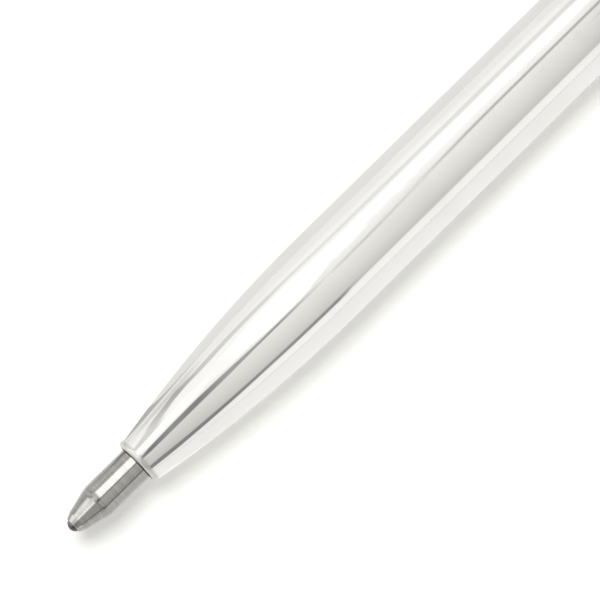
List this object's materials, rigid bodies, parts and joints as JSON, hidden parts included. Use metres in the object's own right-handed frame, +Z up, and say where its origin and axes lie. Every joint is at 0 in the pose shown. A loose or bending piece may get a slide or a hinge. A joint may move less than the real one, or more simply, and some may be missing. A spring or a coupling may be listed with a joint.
{
  "type": "ballpoint pen with chain",
  "caption": "Slim polished twist-action ballpoint pen lying with its point out, with a short oval-link chain and a swivel hook clasp at its rear end.",
  "frame": {"origin": "under the middle of the whole part as it lies, on the surface it lies on", "axes": "+X along the pen from the writing ball to the rear end, +Z up, and the chain curves towards +Y"},
  "size_m": [0.1324, 0.0658, 0.0062],
  "materials": {
    "silver": "mirror-polished silver",
    "steel": "fine turned nickel silver",
    "ball": "polished carbide, wet with ink",
    "tube": "drawn",
    "ink": "liquid",
    "brass": "turned",
    "acetal": "natural moulded",
    "rubber": "matt",
    "spring": "drawn"
  },
  "bodies": {
    "front_half": {"front_barrel": "silver", "thread_bush": "brass", "friction_ring": "rubber", "centre_ring": "silver", "guide_sleeve": "brass", "snap_ring": "spring"},
    "rear_half": {"rear_barrel": "silver", "cam_sleeve": "acetal", "end_cap": "silver"},
    "refill": {"refill_point": "steel", "refill_tube": "tube", "ink_column": "ink", "refill_follower": "acetal", "follower_pin": "spring"},
    "ball": {"writing_ball": "ball"},
    "jump_ring": {"jump_ring": "silver"},
    "link_01": {"chain_link_01": "silver"},
    "link_02": {"chain_link_02": "silver"},
    "link_03": {"chain_link_03": "silver"},
    "link_04": {"chain_link_04": "silver"},
    "link_05": {"chain_link_05": "silver"},
    "link_06": {"chain_link_06": "silver"},
    "link_07": {"chain_link_07": "silver"},
    "link_08": {"chain_link_08": "silver"},
    "link_09": {"chain_link_09": "silver"},
    "link_10": {"chain_link_10": "silver"},
    "link_11": {"chain_link_11": "silver"},
    "link_12": {"chain_link_12": "silver"},
    "clasp_ring": {"clasp_ring": "silver"},
    "clasp_eye": {"clasp_swivel": "silver"},
    "clasp": {"clasp_body": "silver", "clasp_pin": "spring", "clasp_spring": "spring"},
    "lever": {"clasp_lever": "silver"}
  },
  "joints": [
    {"name": "barrel_twist", "type": "hinge", "parent": "front_half", "child": "rear_half", "pos_m": [-0.00664, -0.02979, 0.0031], "axis": [1, 0, 0], "range_deg": [0, 180]},
    {"name": "refill_slide", "type": "slide", "parent": "front_half", "child": "refill", "axis": [1, 0, 0], "range_m": [0, 0.0061]},
    {"name": "ball_roll", "type": "hinge", "parent": "refill", "child": "ball", "pos_m": [-0.06573, -0.02979, 0.0031], "axis": [0, 1, 0], "continuous": true},
    {"name": "jump_ring_swing", "type": "hinge", "parent": "rear_half", "child": "jump_ring", "pos_m": [0.02994, -0.02979, 0.0031], "axis": [0.2418, -0.7071, 0.6645], "range_deg": [-75, 75]},
    {"name": "link_01_swing", "type": "hinge", "parent": "jump_ring", "child": "link_01", "pos_m": [0.03264, -0.02979, 0.00212], "axis": [-0.0381, 0.7099, 0.7033], "range_deg": [-75, 75]},
    {"name": "link_02_swing", "type": "hinge", "parent": "link_01", "child": "link_02", "pos_m": [0.03803, -0.02894, 0.00155], "axis": [-0.2185, 0.6725, -0.7071], "range_deg": [-75, 75]},
    {"name": "link_03_swing", "type": "hinge", "parent": "link_02", "child": "link_03", "pos_m": [0.04324, -0.02725, 0.00155], "axis": [0.321, -0.63, -0.7071], "range_deg": [-75, 75]},
    {"name": "link_04_swing", "type": "hinge", "parent": "link_03", "child": "link_04", "pos_m": [0.04812, -0.02476, 0.00155], "axis": [0.4156, -0.5721, 0.7071], "range_deg": [-75, 75]},
    {"name": "link_05_swing", "type": "hinge", "parent": "link_04", "child": "link_05", "pos_m": [0.05255, -0.02154, 0.00155], "axis": [-0.5, 0.5, 0.7071], "range_deg": [-75, 75]},
    {"name": "link_06_swing", "type": "hinge", "parent": "link_05", "child": "link_06", "pos_m": [0.05643, -0.01766, 0.00155], "axis": [-0.5721, 0.4156, -0.7071], "range_deg": [-75, 75]},
    {"name": "link_07_swing", "type": "hinge", "parent": "link_06", "child": "link_07", "pos_m": [0.05965, -0.01323, 0.00155], "axis": [0.63, -0.321, -0.7071], "range_deg": [-75, 75]},
    {"name": "link_08_swing", "type": "hinge", "parent": "link_07", "child": "link_08", "pos_m": [0.06214, -0.00835, 0.00155], "axis": [0.6725, -0.2185, 0.7071], "range_deg": [-75, 75]},
    {"name": "link_09_swing", "type": "hinge", "parent": "link_08", "child": "link_09", "pos_m": [0.06383, -0.00314, 0.00155], "axis": [-0.6984, 0.1106, 0.7071], "range_deg": [-75, 75]},
    {"name": "link_10_swing", "type": "hinge", "parent": "link_09", "child": "link_10", "pos_m": [0.06469, 0.00228, 0.00155], "axis": [-0.7071, 0, -0.7071], "range_deg": [-75, 75]},
    {"name": "link_11_swing", "type": "hinge", "parent": "link_10", "child": "link_11", "pos_m": [0.06469, 0.00776, 0.00155], "axis": [0.6984, 0.1106, -0.7071], "range_deg": [-75, 75]},
    {"name": "link_12_swing", "type": "hinge", "parent": "link_11", "child": "link_12", "pos_m": [0.06383, 0.01317, 0.00155], "axis": [0.6725, 0.2185, 0.7071], "range_deg": [-75, 75]},
    {"name": "clasp_ring_swing", "type": "hinge", "parent": "link_12", "child": "clasp_ring", "pos_m": [0.06214, 0.01838, 0.00155], "axis": [-0.5008, -0.2552, 0.8271], "range_deg": [-75, 75]},
    {"name": "clasp_eye_swing", "type": "hinge", "parent": "clasp_ring", "child": "clasp_eye", "pos_m": [0.06083, 0.02095, 0.00155], "axis": [-0.5721, -0.4156, -0.7071], "range_deg": [-75, 75]},
    {"name": "clasp_turn", "type": "hinge", "parent": "clasp_eye", "child": "clasp", "pos_m": [0.05909, 0.02334, 0.00155], "axis": [-0.5878, 0.809, 0], "continuous": true},
    {"name": "lever_press", "type": "hinge", "parent": "clasp", "child": "lever", "pos_m": [0.05541, 0.02501, 0.00155], "axis": [0, 0, -1], "range_deg": [0, 25], "stiffness_Nm_per_rad": 0.006, "springref_deg": -17.19}
  ],
  "couplings": [
    {"joint": "barrel_twist", "follows": "refill_slide", "rad_per_m": 515.01}
  ]
}
